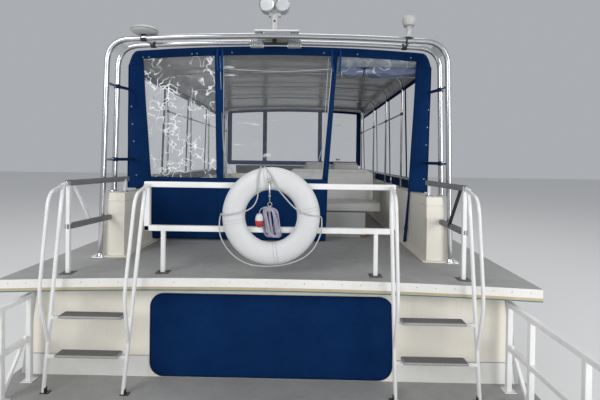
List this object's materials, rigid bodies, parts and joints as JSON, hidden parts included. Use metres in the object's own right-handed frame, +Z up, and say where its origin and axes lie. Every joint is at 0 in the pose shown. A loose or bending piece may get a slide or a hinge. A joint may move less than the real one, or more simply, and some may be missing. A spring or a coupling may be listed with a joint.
{
  "type": "houseboat",
  "caption": "Wide-body houseboat cruiser with a lower aft deck, two ladders to a railed upper deck, and a canvas-enclosed flybridge under a tubular arch.",
  "frame": {"origin": "on the centreline, amidships, at the waterline", "axes": "+Z up, +Y towards the bow, +X to starboard"},
  "size_m": [4.3, 13.95, 5.3063],
  "materials": {
    "hull_gelcoat": "white gelcoat, faintly speckled",
    "cream_gelcoat": "cream gelcoat, weathered",
    "deck_grip": "grey non-skid",
    "white_tube": "white coated aluminium tube",
    "stainless": "polished stainless steel",
    "blue_canvas": "blue acrylic canvas and clear vinyl",
    "cream_vinyl": "off-white marine vinyl",
    "tinted_glass": "tinted glass",
    "white_plastic": "white moulded plastic",
    "black_plastic": "black moulded grip",
    "bronze": "dull bronze",
    "engine_iron": "painted iron block",
    "rope": "braided line",
    "red_float": "red and white float"
  },
  "bodies": {
    "boat": {"aft_bulkhead": "cream_gelcoat", "aft_curtain": "blue_canvas", "aft_deck": "deck_grip", "arch": "stainless", "bow_rail": "stainless", "bridge_windscreen": "tinted_glass", "bulkhead_cover": "blue_canvas", "canopy_frame": "white_tube", "canopy_top": "blue_canvas", "centre_rail": "white_tube", "deck_floodlights": "stainless", "disc_antenna": "white_plastic", "engine_port": "engine_iron", "engine_starboard": "engine_iron", "flybridge_coaming": "cream_gelcoat", "front_curtain": "blue_canvas", "front_glass_port": "tinted_glass", "front_glass_starboard": "tinted_glass", "grab_rail_port": "stainless", "grab_rail_starboard": "stainless", "hailer": "white_plastic", "helm_console": "white_plastic", "helm_seat": "cream_vinyl", "house_front": "cream_gelcoat", "house_side_port": "cream_gelcoat", "house_side_starboard": "cream_gelcoat", "hull": "hull_gelcoat", "ladder_port": "white_tube", "ladder_starboard": "white_tube", "life_ring": "white_plastic", "line_float": "red_float", "line_hank": "rope", "lounge_base": "white_plastic", "lounge_cushion": "cream_vinyl", "lower_rail_port": "white_tube", "lower_rail_starboard": "white_tube", "rolled_door": "blue_canvas", "side_curtain_port": "blue_canvas", "side_curtain_starboard": "blue_canvas", "side_glass_port": "tinted_glass", "side_glass_starboard": "tinted_glass", "side_rail_port": "white_tube", "side_rail_starboard": "white_tube", "strut_port": "bronze", "strut_starboard": "bronze", "swim_platform": "hull_gelcoat", "upper_deck": "deck_grip"},
    "propeller_starboard": {"propeller_starboard": "bronze"},
    "propeller_port": {"propeller_port": "bronze"},
    "rudder_starboard": {"rudder_starboard": "bronze"},
    "rudder_port": {"rudder_port": "bronze"},
    "engine_hatch_starboard": {"engine_hatch_starboard": "deck_grip"},
    "engine_hatch_port": {"engine_hatch_port": "deck_grip"},
    "front_door": {"front_door": "hull_gelcoat"},
    "foredeck_hatch": {"foredeck_hatch": "hull_gelcoat"},
    "stern_gate": {"stern_gate": "white_tube"},
    "steering_wheel": {"steering_wheel": "black_plastic"},
    "searchlight": {"searchlight": "white_plastic"}
  },
  "joints": [
    {"name": "propeller_starboard_spin", "type": "hinge", "parent": "boat", "child": "propeller_starboard", "pos_m": [0.65, -6.08, -0.77], "axis": [0, 0.9848, 0.1736], "continuous": true},
    {"name": "propeller_port_spin", "type": "hinge", "parent": "boat", "child": "propeller_port", "pos_m": [-0.65, -6.08, -0.77], "axis": [0, 0.9848, 0.1736], "continuous": true},
    {"name": "rudder_starboard_turn", "type": "hinge", "parent": "boat", "child": "rudder_starboard", "pos_m": [0.65, -6.43, -0.7], "axis": [0, 0, 1], "range_deg": [-35, 35]},
    {"name": "rudder_port_turn", "type": "hinge", "parent": "boat", "child": "rudder_port", "pos_m": [-0.65, -6.43, -0.7], "axis": [0, 0, 1], "range_deg": [-35, 35]},
    {"name": "engine_hatch_starboard_lift", "type": "hinge", "parent": "boat", "child": "engine_hatch_starboard", "pos_m": [0.48, -5.503, 1.023], "axis": [-1, 0, 0], "range_deg": [0, 80]},
    {"name": "engine_hatch_port_lift", "type": "hinge", "parent": "boat", "child": "engine_hatch_port", "pos_m": [-0.48, -5.503, 1.023], "axis": [-1, 0, 0], "range_deg": [0, 80]},
    {"name": "front_door_swing", "type": "hinge", "parent": "boat", "child": "front_door", "pos_m": [-0.33, 3.464, 1], "axis": [0, 0, 1], "range_deg": [0, 100]},
    {"name": "foredeck_hatch_lift", "type": "hinge", "parent": "boat", "child": "foredeck_hatch", "pos_m": [0, 5.236, 1.16], "axis": [1, 0, 0], "range_deg": [0, 100]},
    {"name": "stern_gate_swing", "type": "hinge", "parent": "boat", "child": "stern_gate", "pos_m": [-0.408, -6.641, 1.3], "axis": [0, 0, -1], "range_deg": [0, 100]},
    {"name": "steering_wheel_turn", "type": "hinge", "parent": "boat", "child": "steering_wheel", "pos_m": [0.75, 0.37, 2.56], "axis": [0, -0.8638, 0.5039], "range_deg": [-630, 630]},
    {"name": "searchlight_pan", "type": "hinge", "parent": "boat", "child": "searchlight", "pos_m": [-0.028, -4.426, 4], "axis": [0, 0, 1], "range_deg": [-170, 170]}
  ],
  "couplings": [
    {"joint": "rudder_starboard_turn", "follows": "steering_wheel_turn", "ratio": 0.055556},
    {"joint": "rudder_port_turn", "follows": "steering_wheel_turn", "ratio": 0.055556}
  ]
}
